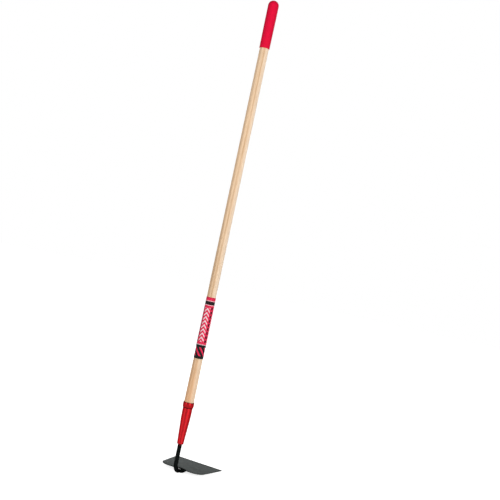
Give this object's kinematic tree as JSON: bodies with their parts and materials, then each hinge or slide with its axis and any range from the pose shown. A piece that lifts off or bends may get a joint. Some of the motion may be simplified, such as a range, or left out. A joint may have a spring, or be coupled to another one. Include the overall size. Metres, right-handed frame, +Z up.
{
  "type": "garden hoe",
  "caption": "Long handled garden hoe: a wide flat blade welded under a bent rod neck, a tapered ferrule, a turned wooden pole and a soft cap grip at its end.",
  "frame": {"origin": "under the middle of the outline, level with the lowest point of the neck and its welds", "axes": "+Z up along the handle, +Y forward along the blade from its back edge to its cutting edge, X across the blade's width"},
  "size_m": [0.167, 0.176, 1.4603],
  "materials": {
    "blade_steel": "satin",
    "black_paint": "semi-gloss",
    "red_enamel": "gloss",
    "zinc": "satin",
    "ash_wood": "lacquered",
    "printed_film": "gloss",
    "soft_vinyl": "satin"
  },
  "bodies": {
    "root": {"blade": "blade_steel", "neck": "black_paint", "weld_left": "black_paint", "weld_right": "black_paint", "weld_back": "black_paint", "ferrule": "red_enamel", "ferrule_rivet": "zinc", "handle": "ash_wood", "label_sleeve": "printed_film", "grip": "soft_vinyl"}
  },
  "joints": []
}
